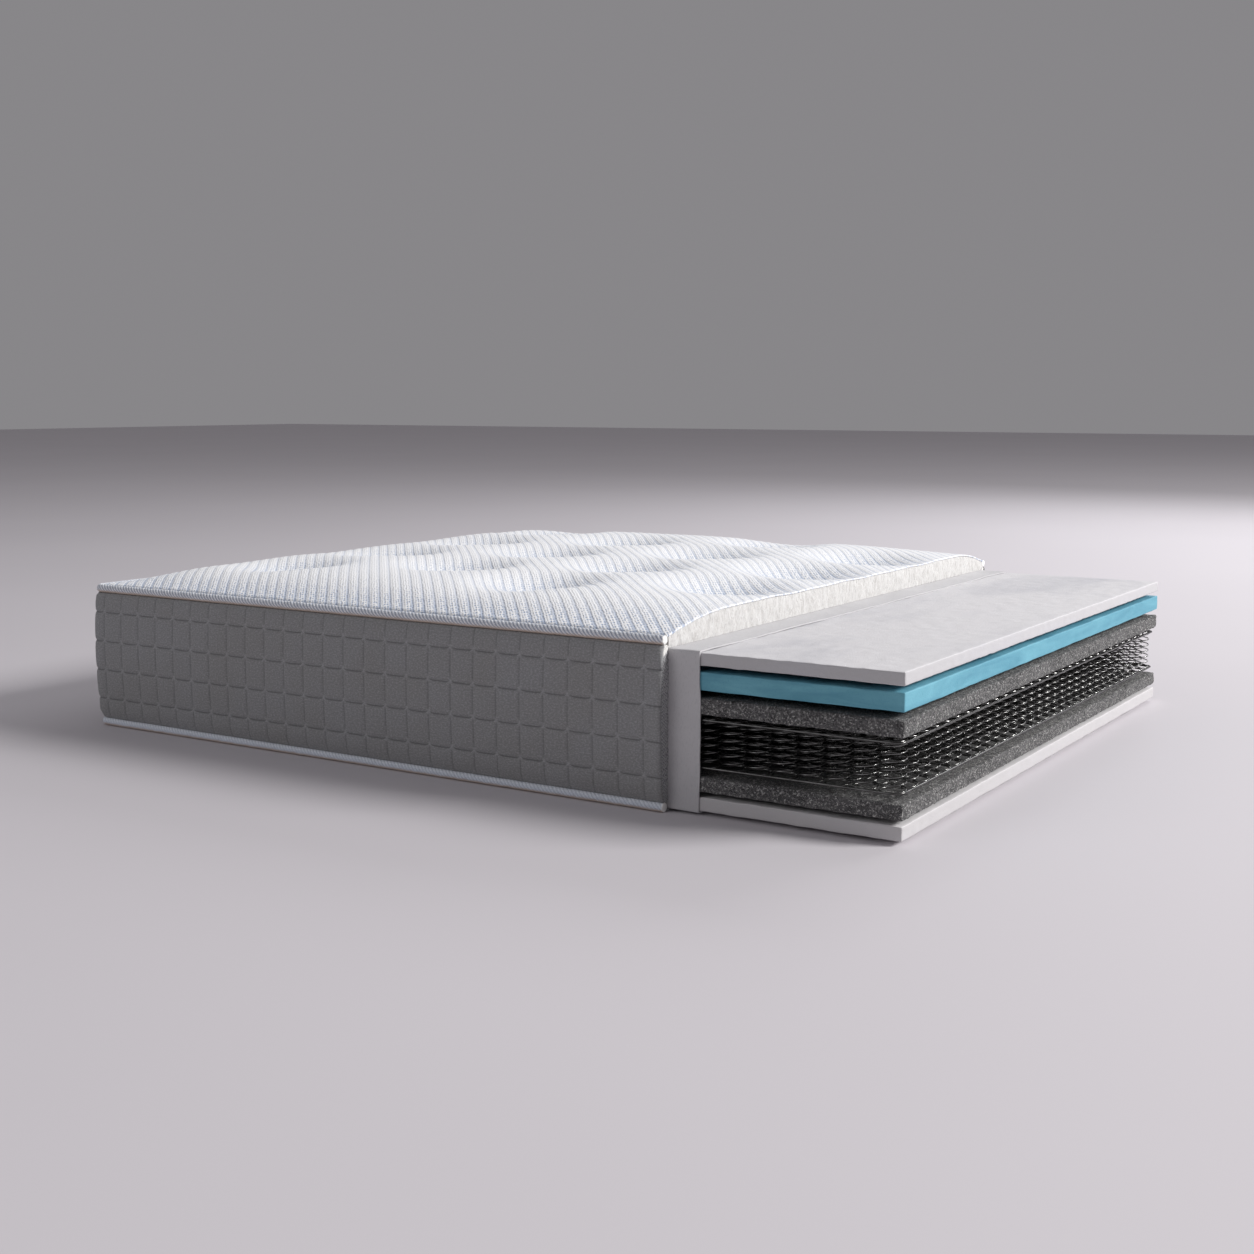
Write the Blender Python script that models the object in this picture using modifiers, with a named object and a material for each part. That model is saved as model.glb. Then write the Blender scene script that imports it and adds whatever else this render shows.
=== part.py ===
"""Hybrid memory foam mattress with one end of its cover cut back to show the layers.

Metres, +Z up.  X runs along the mattress from the closed end to the open display end,
Y across it, and the origin is at the centre of the underside.  Every layer stands apart
from its neighbours by a named display gap.
"""
import math

import bmesh
import bpy

# ---------------------------------------------------------------- driving sizes
LENGTH = 1.942              # closed end wall of the cover to the open end of the layers
WIDTH = 1.602               # over both side walls of the cover
CLEARANCE = 0.0003          # between any two pieces that touch

# layers, from the bottom up, and the display gap under each of them
BASE_FOAM = 0.025
LOWER_FELT = 0.027
SPRING_UNIT = 0.090
UPPER_FELT = 0.0295
GEL_FOAM = 0.033
COMFORT_FOAM = 0.023
GAP_UNDER_LOWER_FELT = 0.010
GAP_UNDER_SPRINGS = 0.014
GAP_UNDER_UPPER_FELT = 0.008
GAP_UNDER_GEL_FOAM = 0.0135
GAP_UNDER_COMFORT_FOAM = 0.011

# spring unit
COIL_ROWS = 31              # rows of coils side by side across the width
ROW_GAP = 0.002             # between neighbouring rows
BORDER_ROD_DIAMETER = 0.0045
BORDER_ROD_CORNER = 0.020   # bend radius at the rod's centre line
BORDER_ROD_INSET = 0.003    # rod's outer side behind the faces of the layers

# cover
INNER_SLEEVE = 0.003        # knit sock round the layers
BORDER_FABRIC = 0.003
BORDER_WADDING = 0.017
TOP_FABRIC = 0.003
BOTTOM_FABRIC = 0.004
PIPING_DIAMETER = 0.018
PIPING_OFF_SLEEVE = 0.0026  # from the sleeve out to the inner side of the pipings
COVER_CORNER = 0.030        # radius of the cover's upright corners
QUILT_ROOM = 0.0008         # between the top panel and the wadding inside it
QUILT_EDGE = 0.020          # height of the top panel over the sleeve, beside the piping
QUILT_CROWN = 0.057         # the same in the middle
QUILT_RUN = 0.230           # how far in from the piping the crown is reached
COVER_CUT_BACK = 0.4463     # open end of the layers back to the cut in the cover
SLEEVE_CUT_BACK = 0.3825    # open end of the layers back to the cut in the sleeve

# mesh fineness
CORNER_STEPS = 6            # segments in a quarter circle
CROWN_STEPS = 4             # grid lines over the run of the crown
FLAT_STEPS = 4              # grid cells over the level middle of the crown

# ---------------------------------------------------------------- places that follow
OPEN_END = LENGTH / 2
CLOSED_END = -LENGTH / 2
HALF_WIDTH = WIDTH / 2
COVER_CUT = OPEN_END - COVER_CUT_BACK
SLEEVE_CUT = OPEN_END - SLEEVE_CUT_BACK
PIPING_RADIUS = PIPING_DIAMETER / 2

# distances in from the outside of the cover's walls
WADDING_INSET = BORDER_FABRIC + CLEARANCE
SLEEVE_INSET = WADDING_INSET + BORDER_WADDING + CLEARANCE
LAYER_INSET = SLEEVE_INSET + INNER_SLEEVE + CLEARANCE
PIPING_INSET = SLEEVE_INSET - PIPING_OFF_SLEEVE - PIPING_RADIUS     # to its centre line
PANEL_INSET = PIPING_INSET + PIPING_RADIUS + CLEARANCE
LAYER_START = CLOSED_END + LAYER_INSET
LAYER_HALF_WIDTH = HALF_WIDTH - LAYER_INSET

SLEEVE_BOTTOM = BOTTOM_FABRIC + CLEARANCE
LAYERS_BOTTOM = SLEEVE_BOTTOM + INNER_SLEEVE + CLEARANCE

COLLECTION_NAME = "memory_foam_mattress"


def stack_levels():
    """Lower and upper height of each layer, from the bottom up."""
    stack = (
        ("base_foam", 0.0, BASE_FOAM),
        ("lower_felt_pad", GAP_UNDER_LOWER_FELT, LOWER_FELT),
        ("spring_unit", GAP_UNDER_SPRINGS, SPRING_UNIT),
        ("upper_felt_pad", GAP_UNDER_UPPER_FELT, UPPER_FELT),
        ("gel_memory_foam", GAP_UNDER_GEL_FOAM, GEL_FOAM),
        ("comfort_foam", GAP_UNDER_COMFORT_FOAM, COMFORT_FOAM),
    )
    levels = {}
    height = LAYERS_BOTTOM
    for name, gap, thickness in stack:
        low = height + gap
        height = low + thickness
        levels[name] = (low, height)
    return levels


LEVELS = stack_levels()
LAYERS_TOP = LEVELS["comfort_foam"][1]
SLEEVE_TOP = LAYERS_TOP + CLEARANCE + INNER_SLEEVE
QUILT_BASE = SLEEVE_TOP + CLEARANCE
TOP_PIPING_HEIGHT = QUILT_BASE + QUILT_EDGE - PIPING_RADIUS / 2
BOTTOM_PIPING_HEIGHT = PIPING_RADIUS
WALL_BOTTOM = BOTTOM_PIPING_HEIGHT + PIPING_RADIUS + CLEARANCE
WALL_TOP = TOP_PIPING_HEIGHT - PIPING_RADIUS - CLEARANCE
PANEL_RIM = max(WALL_TOP + CLEARANCE, QUILT_BASE)       # top panel's turned-down edge


# ---------------------------------------------------------------- helpers
def clear_scene():
    for item in list(bpy.data.objects):
        bpy.data.objects.remove(item, do_unlink=True)


def make_collection(name):
    group = bpy.data.collections.new(name)
    bpy.context.scene.collection.children.link(group)
    return group


def make_material(name, color, roughness, metallic=0.0):
    material = bpy.data.materials.new(name)
    material.use_nodes = True
    shader = material.node_tree.nodes["Principled BSDF"]
    shader.inputs["Base Color"].default_value = (*color, 1.0)
    shader.inputs["Roughness"].default_value = roughness
    shader.inputs["Metallic"].default_value = metallic
    material.diffuse_color = (*color, 1.0)
    return material


def add_object(name, data, material, group, location=(0.0, 0.0, 0.0)):
    item = bpy.data.objects.new(name, data)
    item.location = location
    group.objects.link(item)
    if not data.materials:
        data.materials.append(material)
    return item


def arc(centre, radius, start, end, steps):
    """Points on a circular arc, both ends included, angles in degrees."""
    points = []
    for step in range(steps + 1):
        angle = math.radians(start + (end - start) * step / steps)
        points.append((centre[0] + radius * math.cos(angle), centre[1] + radius * math.sin(angle)))
    return points


def wrap_path(inset, cut):
    """Plan path from a cut along the front, round the closed end and back along the rear.

    It runs at one distance inside the cover's outer face, so every piece of the cover and
    every layer turns the two closed corners about the same centres.
    """
    left = CLOSED_END + inset
    side = HALF_WIDTH - inset
    corner = COVER_CORNER - inset
    front = arc((left + corner, -side + corner), corner, 270, 180, CORNER_STEPS)
    rear = arc((left + corner, side - corner), corner, 180, 90, CORNER_STEPS)
    return [(cut, -side)] + front + rear + [(cut, side)]


def rounded_rectangle(x_low, x_high, half_width, corner):
    corners = (
        ((x_high - corner, half_width - corner), 0),
        ((x_low + corner, half_width - corner), 90),
        ((x_low + corner, -half_width + corner), 180),
        ((x_high - corner, -half_width + corner), 270),
    )
    points = []
    for centre, start in corners:
        points += arc(centre, corner, start, start + 90, CORNER_STEPS)
    return points


def curve_data(name, points, height, closed):
    curve = bpy.data.curves.new(name, "CURVE")
    spline = curve.splines.new("POLY")
    spline.points.add(len(points) - 1)
    for knot, (x, y) in zip(spline.points, points):
        knot.co = (x, y, height, 1.0)
    spline.use_cyclic_u = closed
    return curve


def add_tube(name, points, height, diameter, closed, material, group):
    """A round rod or cord along a level path."""
    curve = curve_data(name, points, height, closed)
    curve.dimensions = "3D"
    curve.bevel_depth = diameter / 2
    curve.bevel_resolution = 2
    curve.use_fill_caps = not closed
    return add_object(name, curve, material, group)


def mesh_from(item, name):
    """The evaluated mesh of a curve object, with its caps welded on."""
    bpy.context.view_layer.update()
    mesh = bpy.data.meshes.new_from_object(item.evaluated_get(bpy.context.evaluated_depsgraph_get()))
    mesh.name = name
    welded = bmesh.new()
    welded.from_mesh(mesh)
    bmesh.ops.remove_doubles(welded, verts=welded.verts, dist=CLEARANCE / 10)
    welded.to_mesh(mesh)
    welded.free()
    return mesh


def add_outline(name, points, low, high, material, group):
    """A flat closed outline raised from one height to another."""
    curve = curve_data(name, points, 0.0, True)
    curve.dimensions = "2D"
    curve.fill_mode = "BOTH"
    curve.extrude = (high - low) / 2
    return add_object(name, curve, material, group, (0.0, 0.0, (low + high) / 2))


# ---------------------------------------------------------------- layers
def add_layer(name, material, group):
    low, high = LEVELS[name]
    return add_outline(name, wrap_path(LAYER_INSET, OPEN_END), low, high, material, group)


def add_border_rod(name, height, material, group):
    """The closed steel rod round the rim of the spring unit, along its centre line."""
    inset = BORDER_ROD_INSET + BORDER_ROD_DIAMETER / 2
    points = rounded_rectangle(
        LAYER_START + inset, OPEN_END - inset, LAYER_HALF_WIDTH - inset, BORDER_ROD_CORNER
    )
    return add_tube(name, points, height, BORDER_ROD_DIAMETER, True, material, group)


def add_coil_rows(material, group):
    """One envelope solid for each row of coils, with round ends, inside the border rods."""
    low, high = LEVELS["spring_unit"]
    rim = BORDER_ROD_INSET + BORDER_ROD_DIAMETER + CLEARANCE
    x_low = LAYER_START + rim
    x_high = OPEN_END - rim
    pitch = 2 * (LAYER_HALF_WIDTH - rim) / COIL_ROWS
    radius = (pitch - ROW_GAP) / 2
    outline = arc((x_high - radius, 0.0), radius, -90, 90, 2 * CORNER_STEPS)
    outline += arc((x_low + radius, 0.0), radius, 90, 270, 2 * CORNER_STEPS)
    for row in range(COIL_ROWS):
        y = (row - (COIL_ROWS - 1) / 2) * pitch
        item = add_outline(f"coil_row_{row + 1:02d}", outline, low, high, material, group)
        item.location.y = y


# ---------------------------------------------------------------- cover
def add_sleeve(material, group):
    """The sock round the layers: one wall on every side except the display end."""
    path = wrap_path(LAYER_INSET - CLEARANCE, SLEEVE_CUT)
    low = LAYERS_BOTTOM - CLEARANCE
    high = LAYERS_TOP + CLEARANCE
    solid = add_outline("sleeve_lining", path, low, high, material, group)
    mesh = mesh_from(solid, "inner_sleeve")
    walls = bmesh.new()
    walls.from_mesh(mesh)
    open_faces = [face for face in walls.faces if face.normal.x > 0.5]
    bmesh.ops.delete(walls, geom=open_faces, context="FACES")
    walls.to_mesh(mesh)
    walls.free()
    sleeve = add_object("inner_sleeve", mesh, material, group, solid.location)
    bpy.data.objects.remove(solid, do_unlink=True)
    solidify = sleeve.modifiers.new("wall", "SOLIDIFY")
    solidify.thickness = INNER_SLEEVE
    solidify.offset = 1.0
    solidify.use_quality_normals = True
    solidify.use_even_offset = True
    return sleeve


def crown_height(x, y):
    """Height of the top panel's outside over the quilt's base, at a place in plan."""
    rise = 1.0
    for reach in (x - (CLOSED_END + PANEL_INSET), HALF_WIDTH - PANEL_INSET - abs(y)):
        share = min(max(reach / QUILT_RUN, 0.0), 1.0)
        rise *= math.sin(share * math.pi / 2)
    return QUILT_EDGE + (QUILT_CROWN - QUILT_EDGE) * rise


def spread(low, high, corner, high_run):
    """Grid lines from low to high: one at the corner's end, more over the runs of the crown."""
    def run_lines():
        step = (QUILT_RUN - corner) / CROWN_STEPS
        return [0.0] + [corner + step * count for count in range(CROWN_STEPS)]

    start = low + QUILT_RUN
    end = high - high_run
    lines = [low + reach for reach in run_lines()]
    lines += [start + (end - start) * step / FLAT_STEPS for step in range(FLAT_STEPS + 1)]
    if high_run:
        lines += [high - reach for reach in reversed(run_lines())]
    return lines


def crown_grid(inset, drop):
    """A sheet in the crowned shape of the top panel, lowered by drop."""
    half_width = HALF_WIDTH - inset
    corner = COVER_CORNER - inset
    pull = corner * (1 - math.sqrt(0.5))
    columns = spread(CLOSED_END + inset, COVER_CUT, corner, 0.0)
    rows = spread(-half_width, half_width, corner, QUILT_RUN)
    sheet = bmesh.new()
    bmesh.ops.create_grid(sheet, x_segments=len(columns) - 1, y_segments=len(rows) - 1, size=1.0)
    for vert in sheet.verts:
        column = round((vert.co.x + 1) / 2 * (len(columns) - 1))
        row = round((vert.co.y + 1) / 2 * (len(rows) - 1))
        x = columns[column]
        y = rows[row]
        if column == 0 and row in (0, len(rows) - 1):
            x += pull
            y -= math.copysign(pull, y)
        vert.co = (x, y, QUILT_BASE + crown_height(x, y) - drop)
    return sheet


def extrude_rim(sheet, rim, height):
    """Pull the given boundary edges straight down to a height."""
    result = bmesh.ops.extrude_edge_only(sheet, edges=rim)
    for vert in (item for item in result["geom"] if isinstance(item, bmesh.types.BMVert)):
        vert.co.z = height


def add_top_panel(material, group):
    """The knit panel over the quilt, with its edge turned down beside the piping."""
    sheet = crown_grid(PANEL_INSET, 0.0)
    rim = [
        edge for edge in sheet.edges
        if edge.is_boundary and not all(abs(v.co.x - COVER_CUT) < 1e-6 for v in edge.verts)
    ]
    extrude_rim(sheet, rim, PANEL_RIM)
    bmesh.ops.recalc_face_normals(sheet, faces=sheet.faces)
    mesh = bpy.data.meshes.new("top_panel")
    sheet.to_mesh(mesh)
    sheet.free()
    panel = add_object("top_panel", mesh, material, group)
    solidify = panel.modifiers.new("fabric", "SOLIDIFY")
    solidify.thickness = TOP_FABRIC
    solidify.offset = -1.0
    solidify.use_quality_normals = True
    solidify.use_even_offset = True
    return panel


def add_quilt_wadding(material, group):
    """The fibre filling under the top panel, flat below and crowned above."""
    inset = PANEL_INSET + TOP_FABRIC + QUILT_ROOM
    body = crown_grid(inset, TOP_FABRIC + QUILT_ROOM)
    result = bmesh.ops.extrude_face_region(body, geom=list(body.faces))
    for vert in (item for item in result["geom"] if isinstance(item, bmesh.types.BMVert)):
        vert.co.z = QUILT_BASE
    bmesh.ops.recalc_face_normals(body, faces=body.faces)
    mesh = bpy.data.meshes.new("quilt_wadding")
    body.to_mesh(mesh)
    body.free()
    return add_object("quilt_wadding", mesh, material, group)


def add_border(name, outer_inset, inner_inset, material, group):
    """One skin of the upright wall, wrapped round three sides in a single piece."""
    outline = wrap_path(outer_inset, COVER_CUT) + wrap_path(inner_inset, COVER_CUT)[::-1]
    return add_outline(name, outline, WALL_BOTTOM, WALL_TOP, material, group)


def add_piping(name, height, material, group):
    path = wrap_path(PIPING_INSET, COVER_CUT)
    return add_tube(name, path, height, PIPING_DIAMETER, False, material, group)


def add_bottom_panel(material, group):
    """The flat panel under the mattress, inside the lower piping."""
    path = wrap_path(PANEL_INSET, COVER_CUT)
    return add_outline("bottom_panel", path, 0.0, BOTTOM_FABRIC, material, group)


def main():
    clear_scene()
    group = make_collection(COLLECTION_NAME)

    foam = make_material("comfort_foam", (0.80, 0.79, 0.80), 0.9)
    base = make_material("base_foam", (0.74, 0.73, 0.74), 0.9)
    gel = make_material("gel_memory_foam", (0.16, 0.46, 0.60), 0.6)
    felt = make_material("felt_pad", (0.19, 0.18, 0.17), 1.0)
    rod = make_material("border_rod", (0.78, 0.77, 0.75), 0.3, 1.0)
    coil = make_material("coil_steel", (0.10, 0.10, 0.10), 0.35, 1.0)
    sock = make_material("inner_sleeve", (0.45, 0.45, 0.47), 0.9)
    fibre = make_material("wadding", (0.92, 0.91, 0.89), 1.0)
    knit = make_material("top_knit", (0.86, 0.88, 0.93), 0.9)
    border = make_material("border_fabric", (0.13, 0.13, 0.14), 0.9)
    tape = make_material("piping_tape", (0.60, 0.64, 0.72), 0.9)
    underside = make_material("bottom_fabric", (0.30, 0.30, 0.32), 0.95)

    for name, material in (
        ("base_foam", base),
        ("lower_felt_pad", felt),
        ("upper_felt_pad", felt),
        ("gel_memory_foam", gel),
        ("comfort_foam", foam),
    ):
        add_layer(name, material, group)

    spring_low, spring_high = LEVELS["spring_unit"]
    add_border_rod("lower_border_rod", spring_low + BORDER_ROD_DIAMETER / 2, rod, group)
    add_border_rod("upper_border_rod", spring_high - BORDER_ROD_DIAMETER / 2, rod, group)
    add_coil_rows(coil, group)

    add_sleeve(sock, group)
    add_quilt_wadding(fibre, group)
    add_top_panel(knit, group)
    add_border("border_wadding", WADDING_INSET, WADDING_INSET + BORDER_WADDING, fibre, group)
    add_border("border_panel", 0.0, BORDER_FABRIC, border, group)
    add_piping("top_piping", TOP_PIPING_HEIGHT, tape, group)
    add_piping("bottom_piping", BOTTOM_PIPING_HEIGHT, tape, group)
    add_bottom_panel(underside, group)


main()
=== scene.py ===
"""Looks of the cutaway hybrid mattress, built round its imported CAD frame.

Metres, in the row's frame: X from the closed end to the open display end, Y across, Z up.
"""
import math
from math import pi

import bpy
import numpy as np
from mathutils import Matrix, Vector


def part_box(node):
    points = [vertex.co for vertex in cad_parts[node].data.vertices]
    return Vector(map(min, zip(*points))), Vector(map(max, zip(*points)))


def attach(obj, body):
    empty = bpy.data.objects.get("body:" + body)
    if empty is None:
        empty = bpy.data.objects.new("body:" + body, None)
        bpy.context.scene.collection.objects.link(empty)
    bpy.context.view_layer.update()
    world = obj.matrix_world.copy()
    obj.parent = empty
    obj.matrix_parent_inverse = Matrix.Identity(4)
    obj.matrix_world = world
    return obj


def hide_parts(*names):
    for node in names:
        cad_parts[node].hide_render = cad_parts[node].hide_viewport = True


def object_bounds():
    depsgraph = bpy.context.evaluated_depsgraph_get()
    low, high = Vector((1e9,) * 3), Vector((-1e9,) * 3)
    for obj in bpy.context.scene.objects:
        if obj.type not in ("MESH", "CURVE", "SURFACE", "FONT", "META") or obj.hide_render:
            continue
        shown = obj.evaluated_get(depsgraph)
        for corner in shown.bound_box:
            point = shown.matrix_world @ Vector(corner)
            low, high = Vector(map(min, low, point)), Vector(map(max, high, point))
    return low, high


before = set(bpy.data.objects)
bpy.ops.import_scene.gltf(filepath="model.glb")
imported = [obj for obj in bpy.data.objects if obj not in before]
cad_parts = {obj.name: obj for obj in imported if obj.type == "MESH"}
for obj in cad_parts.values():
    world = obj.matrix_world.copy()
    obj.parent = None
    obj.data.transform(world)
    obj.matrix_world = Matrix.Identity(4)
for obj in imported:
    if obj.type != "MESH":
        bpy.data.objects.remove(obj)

CAD_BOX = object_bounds()
BODY = "root"

# -------- sizes read from the frame
BORDER_LOW, BORDER_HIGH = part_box("border_panel")
SLEEVE_LOW, SLEEVE_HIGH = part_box("inner_sleeve")
COVER_LEFT = BORDER_LOW.x
COVER_CUT = BORDER_HIGH.x
COVER_HALF = BORDER_HIGH.y
QUILT_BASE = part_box("quilt_wadding")[0].z

# -------- sizes of the cover
COVER_CORNER = 0.03        # radius of the cover's upright corners
CLEARANCE = 0.0003
BORDER_FABRIC = 0.003
BORDER_WADDING = 0.017
SLEEVE_WALL = 0.003
TOP_FABRIC = 0.003
PANEL_EDGE_INSET = 0.015   # the knit panel's edge, over the top piping's inner shoulder
PANEL_EDGE_RISE = 0.0222    # its height over the quilt's base there
QUILT_CROWN = 0.06         # height of the knit over the quilt's base in the middle
QUILT_RUN = 0.23           # from the near piping and the closed end in to the crown
FAR_RUN = 0.18             # and from the far piping
QUILT_INSET = 0.019        # side of the quilt's filling

RIB_TURN = math.radians(41.0)       # the ribs run this far from Y towards -X
RIB_PITCH = 0.0285          # between ribs, measured along X
RIB_GROOVE = 0.18           # places in a rib, as shares of the pitch
RIB_RIDGE = 0.44
TILE = 0.0544               # quilt squares of the border, along the wall
TILE_START = 0.036
TILE_ROW = 0.065            # and up it
FIRST_SEAM = 0.0676
SEAM_ROWS = 4
SEAM_SAG = 0.004
BRAID_PITCH = 0.0062        # strands in the border's filling, at its cut
BRAID_HALF = 0.0045
BRAID_SLOPE = 1.6


# -------- noise
def cell_values(cells, seed):
    """A fixed pseudo-random value from -1 to 1 for each whole-number cell."""
    mixed = (cells[..., 0] * 73856093) ^ (cells[..., 1] * 19349663) ^ (cells[..., 2] * 83492791)
    mixed = (mixed ^ (seed * 40503 + 977)) & 0xFFFFFFFF
    mixed = ((mixed ^ (mixed >> 15)) * 2246822519) & 0xFFFFFFFF
    mixed = ((mixed ^ (mixed >> 13)) * 3266489917) & 0xFFFFFFFF
    return ((mixed ^ (mixed >> 16)) & 0xFFFFFF) / 0x7FFFFF - 1.0


def rough(points, size, seed):
    """Smooth noise from -1 to 1 at points; size is a cell's size, one number or three."""
    spot = points / np.asarray(size, float)
    base = np.floor(spot).astype(np.int64)
    part = spot - base
    part = part * part * (3 - 2 * part)
    total = 0.0
    for corner in range(8):
        step = np.array([(corner >> axis) & 1 for axis in range(3)])
        weight = np.prod(np.where(step == 1, part, 1 - part), axis=-1)
        total = total + weight * cell_values(base + step, seed)
    return total


def layered(points, size, seed, octaves=3):
    """Noise with finer noise added to it, each half as strong."""
    total = 0.0
    for octave in range(octaves):
        total = total + rough(points, np.asarray(size) / 2 ** octave, seed + 17 * octave) / 2 ** octave
    return total


def shaken(points, size, amount, seed, octaves=3):
    """Points moved a little in every direction by smooth noise."""
    push = [layered(points, size, seed + 101 * axis, octaves) for axis in range(3)]
    return points + np.stack(push, axis=-1) * amount


def ramp(value, low, high):
    share = np.clip((value - low) / (high - low), 0.0, 1.0)
    return share * share * (3 - 2 * share)


# -------- meshes
def columns(*parts):
    return np.stack(parts, axis=-1)


def quads_over(index, flip=False):
    """Quads over a 2-D array of vertex numbers."""
    corners = [index[:-1, :-1], index[1:, :-1], index[1:, 1:], index[:-1, 1:]]
    quads = np.stack(corners, axis=-1).reshape(-1, 4)
    return quads[:, ::-1] if flip else quads


def signed_volume(points, quads):
    a, b, c, d = (points[quads[:, corner]] for corner in range(4))
    return float((a * np.cross(b, c) + a * np.cross(c, d)).sum() / 6)


def make_mesh(name, points, quads, caps=()):
    """A smooth-shaded mesh of quads, and of caps with any number of corners."""
    if signed_volume(points, quads) < 0:
        quads = quads[:, ::-1]
        caps = [cap[::-1] for cap in caps]
    corners = np.concatenate([quads.ravel(), *[np.asarray(cap) for cap in caps]])
    sizes = np.array([4] * len(quads) + [len(cap) for cap in caps])
    starts = np.concatenate([[0], np.cumsum(sizes)[:-1]])
    mesh = bpy.data.meshes.new(name)
    mesh.vertices.add(len(points))
    mesh.vertices.foreach_set("co", points.astype(np.float32).ravel())
    mesh.loops.add(len(corners))
    mesh.loops.foreach_set("vertex_index", corners.astype(np.int32))
    mesh.polygons.add(len(starts))
    mesh.polygons.foreach_set("loop_start", starts.astype(np.int32))
    mesh.update(calc_edges=True)
    mesh.validate()
    mesh.shade_smooth()
    return mesh


def add_object(name, data):
    thing = bpy.data.objects.new(name, data)
    bpy.context.scene.collection.objects.link(thing)
    return thing


def make_piece(mesh, material, nodes, name="", location=(0.0, 0.0, 0.0)):
    """An object that rides on the body in place of its CAD nodes, named as its mesh is."""
    piece = add_object(name or mesh.name, mesh)
    piece.location = location
    if not mesh.materials:
        mesh.materials.append(material)
    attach(piece, BODY)
    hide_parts(*nodes)
    return piece


def store_values(mesh, name, values):
    layer = mesh.attributes.new(name, "FLOAT", "POINT")
    layer.data.foreach_set("value", np.asarray(values, np.float32).ravel())


def store_map(mesh, name, across, up):
    """A UV map in metres from one pair of values for each vertex."""
    corners = np.empty(len(mesh.loops), np.int32)
    mesh.loops.foreach_get("vertex_index", corners)
    pairs = columns(across.ravel()[corners], up.ravel()[corners])
    mesh.uv_layers.new(name=name).data.foreach_set("uv", pairs.astype(np.float32).ravel())


def run_lines(*stops):
    """Grid lines through ((place, step), ..., (end, 0)), each step kept as even as it can be."""
    lines = []
    for (start, step), (end, _) in zip(stops[:-1], stops[1:]):
        count = max(1, round((end - start) / step))
        lines.append(np.linspace(start, end, count + 1)[:-1])
    return np.concatenate([*lines, [stops[-1][0]]])


def edged(lines, edge):
    """The same grid lines with two more beside each end, for a rounded edge."""
    low, high = lines[0], lines[-1]
    inner = lines[(lines > low + 1.3 * edge) & (lines < high - 1.3 * edge)]
    near = [low, low + 0.45 * edge, low + edge]
    far = [high - edge, high - 0.45 * edge, high]
    return np.concatenate([near, inner, far])


def tube_faces(shape, looped=False):
    """Quads of a tube given as rings of points, and its two caps unless it is looped."""
    index = np.arange(shape[0] * shape[1]).reshape(shape[:2])
    closed = np.concatenate([index, index[:, :1]], axis=1)
    if looped:
        return quads_over(np.concatenate([closed, closed[:1]]))
    return quads_over(closed), [index[0], index[-1, ::-1]]


def box_skin(xs, ys, zs, open_end=False):
    """Points, quads and vertex numbers of a box's skin; its +X face can be left open."""
    shown = np.zeros((len(xs), len(ys), len(zs)), bool)
    shown[[0, -1]] = True
    shown[:, [0, -1]] = True
    shown[:, :, [0, -1]] = True
    if open_end:
        shown[-1, 1:-1, 1:-1] = False
    index = np.full(shown.shape, -1)
    index[shown] = np.arange(shown.sum())
    points = np.stack(np.meshgrid(xs, ys, zs, indexing="ij"), axis=-1)[shown]
    quads = [
        quads_over(index[0], flip=True),
        quads_over(index[:, 0]),
        quads_over(index[:, -1], flip=True),
        quads_over(index[:, :, 0], flip=True),
        quads_over(index[:, :, -1]),
    ]
    if not open_end:
        quads.append(quads_over(index[-1]))
    return points, np.concatenate(quads), index


def rim_of(index):
    """Vertex numbers round the border of a 2-D array of them."""
    return np.concatenate([index[:, 0], index[-1, 1:], index[-2::-1, -1], index[0, -2:0:-1]])


def rim_quads(ring, other):
    """Quads from one closed ring of vertices to another."""
    return columns(np.roll(ring, -1), ring, other, np.roll(other, -1))


def shell(outer, inner):
    """A closed skin between two grids of points with the same shape."""
    rows, columns = outer.shape[:2]
    index = np.arange(rows * columns).reshape(rows, columns)
    ring = rim_of(index)
    quads = [
        quads_over(index),
        quads_over(index + index.size, flip=True),
        rim_quads(ring, ring + index.size),
    ]
    points = np.concatenate([outer.reshape(-1, 3), inner.reshape(-1, 3)])
    return points, np.concatenate(quads)


def soften(points, low, high, radius):
    """Round all the edges of a box's skin."""
    low = np.asarray(low) + radius
    high = np.asarray(high) - radius
    core = np.clip(points, low, high)
    away = points - core
    length = np.linalg.norm(away, axis=-1, keepdims=True)
    return core + away / np.maximum(length, 1e-9) * radius


def turn_corners(points, left, half, radius):
    """Bend the two upright corners at the closed end to a radius."""
    u = (left + radius - points[..., 0]) / radius
    v = (np.abs(points[..., 1]) - (half - radius)) / radius
    inside = (u > 0) & (v > 0)
    u = np.clip(u, 0, 1)
    v = np.clip(v, 0, 1)
    bent = points.copy()
    bent[..., 0] = np.where(inside, left + radius - radius * u * np.sqrt(1 - v * v / 2), points[..., 0])
    side = np.sign(points[..., 1]) * (half - radius + radius * v * np.sqrt(1 - u * u / 2))
    bent[..., 1] = np.where(inside, side, points[..., 1])
    return bent


# -------- the wall round the cover
STRAIGHT = COVER_CUT - COVER_LEFT - COVER_CORNER
QUARTER = pi / 2 * COVER_CORNER
ACROSS = 2 * (COVER_HALF - COVER_CORNER)
WRAP_STOPS = np.cumsum([0.0, STRAIGHT, QUARTER, ACROSS, QUARTER, STRAIGHT])
WRAP = WRAP_STOPS[-1]


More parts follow.
